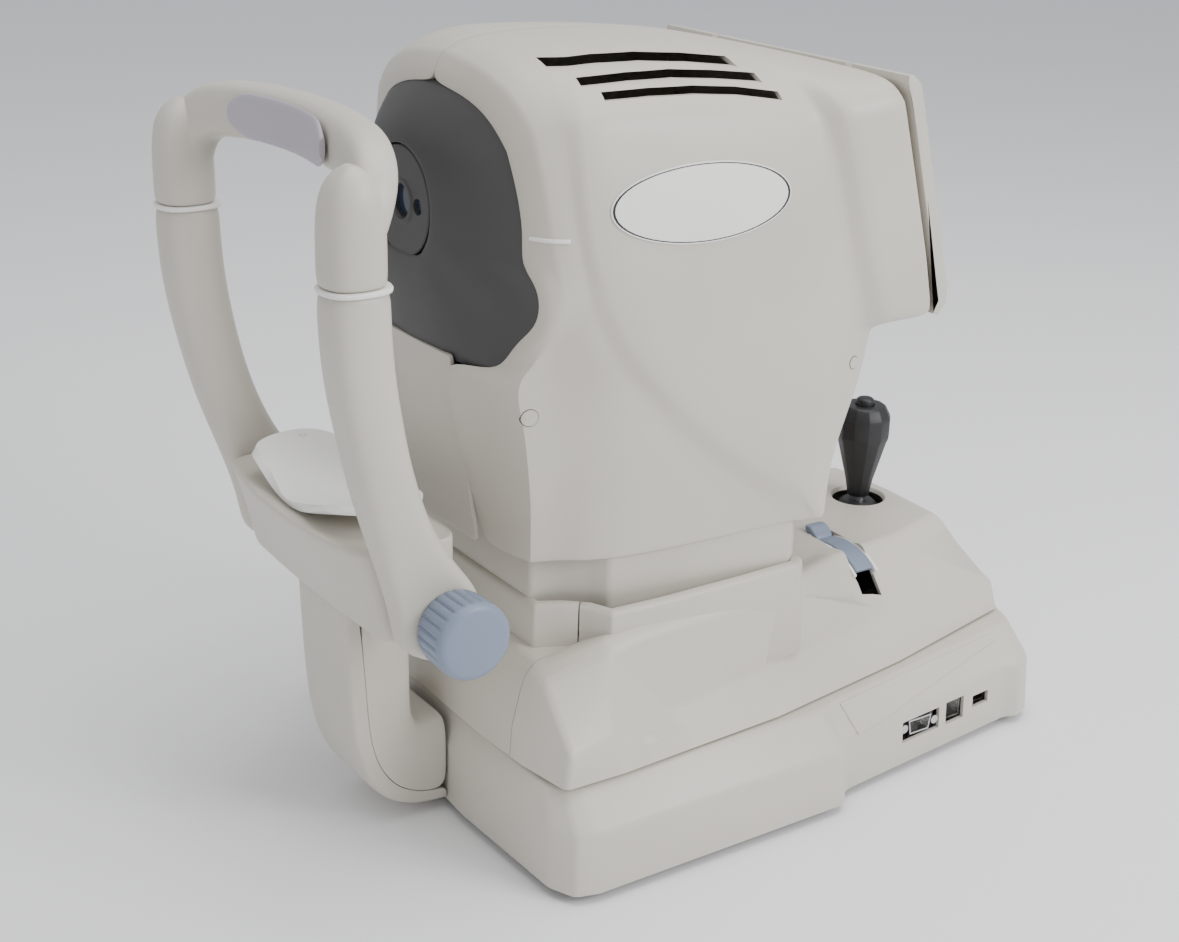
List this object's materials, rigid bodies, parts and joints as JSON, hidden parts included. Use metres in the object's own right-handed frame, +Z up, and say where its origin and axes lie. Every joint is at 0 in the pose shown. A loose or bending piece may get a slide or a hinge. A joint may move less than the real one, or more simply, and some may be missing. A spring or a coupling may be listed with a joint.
{
  "type": "autorefractor",
  "caption": "Desk-top autorefractor: measuring head on a joystick cross-slide stage, with chin rest, forehead rest and tilting operator screen.",
  "frame": {"origin": "centre of the instrument's floor rectangle, on the surface it stands on", "axes": "+Z up, +Y from the patient's side to the operator's side, +X to the right as the patient sees it"},
  "size_m": [0.317, 0.521, 0.447],
  "materials": {
    "ivory_plastic": "satin moulded",
    "white_plastic": "satin moulded",
    "mask_plastic": "fine grain",
    "blue_grey_plastic": "satin moulded",
    "black_plastic": "fine grain",
    "pad_rubber": "soft matte",
    "foot_rubber": "matte",
    "steel": "ground",
    "aluminium": "machined",
    "connector_metal": "plated",
    "lens_glass": "coated",
    "screen": "polished",
    "circuit_board": "lacquered",
    "paper": "thermal paper"
  },
  "bodies": {
    "base": {"base_cover": "ivory_plastic", "base_plate": "steel", "rubber_feet": "foot_rubber", "serial_port": "connector_metal", "port_jackscrews": "connector_metal", "lan_port": "connector_metal", "usb_port": "connector_metal", "power_inlet": "black_plastic", "printer_frame": "aluminium", "main_board": "circuit_board", "depth_rails": "steel", "rail_blocks": "aluminium", "post_front_cover": "ivory_plastic", "post_rear_cover": "ivory_plastic", "post_frame": "aluminium", "chinrest_body": "ivory_plastic", "right_support": "ivory_plastic", "left_support": "ivory_plastic", "forehead_frame": "ivory_plastic", "forehead_pad": "pad_rubber"},
    "power_switch": {"power_switch": "black_plastic"},
    "printer_door": {"printer_door": "ivory_plastic"},
    "paper_roll": {"paper_roll": "paper"},
    "slide_carriage": {"slide_carriage": "aluminium", "side_shafts": "steel"},
    "stage": {"stage_plate": "steel", "side_bearings": "aluminium", "lift_guide": "aluminium", "lift_motor": "black_plastic", "stage_front_cover": "ivory_plastic", "stage_rear_cover": "ivory_plastic", "neck_sleeve": "ivory_plastic", "control_brackets": "steel"},
    "lift_screw": {"lift_screw": "steel"},
    "lock_lever": {"lock_lever": "blue_grey_plastic"},
    "joystick_gimbal": {"joystick_gimbal": "aluminium"},
    "joystick": {"joystick_stem": "steel", "joystick_boot": "black_plastic"},
    "joystick_grip": {"joystick_grip": "black_plastic"},
    "measure_button": {"measure_button": "black_plastic"},
    "head": {"head_right_cover": "ivory_plastic", "head_left_cover": "ivory_plastic", "head_front_cover": "ivory_plastic", "face_mask": "mask_plastic", "window_disc": "mask_plastic", "objective_lens": "lens_glass", "side_windows": "lens_glass", "optical_barrel": "aluminium", "head_chassis": "aluminium", "lift_column": "steel", "badge_plates": "ivory_plastic", "screw_caps": "ivory_plastic", "monitor_hinges": "steel"},
    "monitor": {"monitor_frame": "ivory_plastic", "lcd_screen": "screen"},
    "chinrest": {"chinrest": "white_plastic", "paper_pins": "white_plastic", "chinrest_rod": "steel"},
    "chin_knob": {"chinrest_knob": "blue_grey_plastic", "pinion_shaft": "steel"}
  },
  "joints": [
    {"name": "depth_slide", "type": "slide", "parent": "base", "child": "slide_carriage", "axis": [0, 1, 0], "range_m": [-0.02, 0.02]},
    {"name": "side_slide", "type": "slide", "parent": "slide_carriage", "child": "stage", "axis": [1, 0, 0], "range_m": [-0.042, 0.042]},
    {"name": "head_lift", "type": "slide", "parent": "stage", "child": "head", "axis": [0, 0, 1], "range_m": [0, 0.03]},
    {"name": "screw_turn", "type": "hinge", "parent": "stage", "child": "lift_screw", "pos_m": [0, -0.041, 0.1], "axis": [0, 0, 1], "range_deg": [0, 2200]},
    {"name": "lock_swing", "type": "hinge", "parent": "stage", "child": "lock_lever", "pos_m": [0.054, 0.12, 0.078], "axis": [0, 1, 0], "range_deg": [0, 14]},
    {"name": "joystick_fore", "type": "hinge", "parent": "stage", "child": "joystick_gimbal", "pos_m": [0, 0.1845, 0.102], "axis": [1, 0, 0], "range_deg": [-12, 12]},
    {"name": "joystick_side", "type": "hinge", "parent": "joystick_gimbal", "child": "joystick", "pos_m": [0, 0.1845, 0.102], "axis": [0, 1, 0], "range_deg": [-12, 12]},
    {"name": "grip_turn", "type": "hinge", "parent": "joystick", "child": "joystick_grip", "pos_m": [0, 0.1845, 0.15], "axis": [0, 0, 1], "range_deg": [0, 740]},
    {"name": "button_press", "type": "slide", "parent": "joystick_grip", "child": "measure_button", "axis": [0, 0, -1], "range_m": [0, 0.0015], "stiffness_N_per_m": 250, "springref_m": -0.004},
    {"name": "monitor_tilt", "type": "hinge", "parent": "head", "child": "monitor", "pos_m": [0, 0.095, 0.419], "axis": [1, 0, 0], "range_deg": [0, 25]},
    {"name": "chinrest_lift", "type": "slide", "parent": "base", "child": "chinrest", "axis": [0, 0, 1], "range_m": [0, 0.065]},
    {"name": "knob_turn", "type": "hinge", "parent": "base", "child": "chin_knob", "pos_m": [0.1, -0.1925, 0.161], "axis": [1, 0, 0], "range_deg": [-540, 0]},
    {"name": "door_swing", "type": "hinge", "parent": "base", "child": "printer_door", "pos_m": [0, 0.259, 0.0165], "axis": [-1, 0, 0], "range_deg": [0, 80]},
    {"name": "roll_turn", "type": "hinge", "parent": "base", "child": "paper_roll", "pos_m": [0, 0.2225, 0.032], "axis": [1, 0, 0], "continuous": true},
    {"name": "switch_rock", "type": "hinge", "parent": "base", "child": "power_switch", "pos_m": [-0.117, 0.174, 0.027], "axis": [0, 0, 1], "range_deg": [0, 9]}
  ],
  "couplings": [
    {"joint": "screw_turn", "follows": "head_lift", "rad_per_m": 1256.6},
    {"joint": "grip_turn", "follows": "head_lift", "rad_per_m": 418.88},
    {"joint": "knob_turn", "follows": "chinrest_lift", "rad_per_m": -142.86}
  ]
}
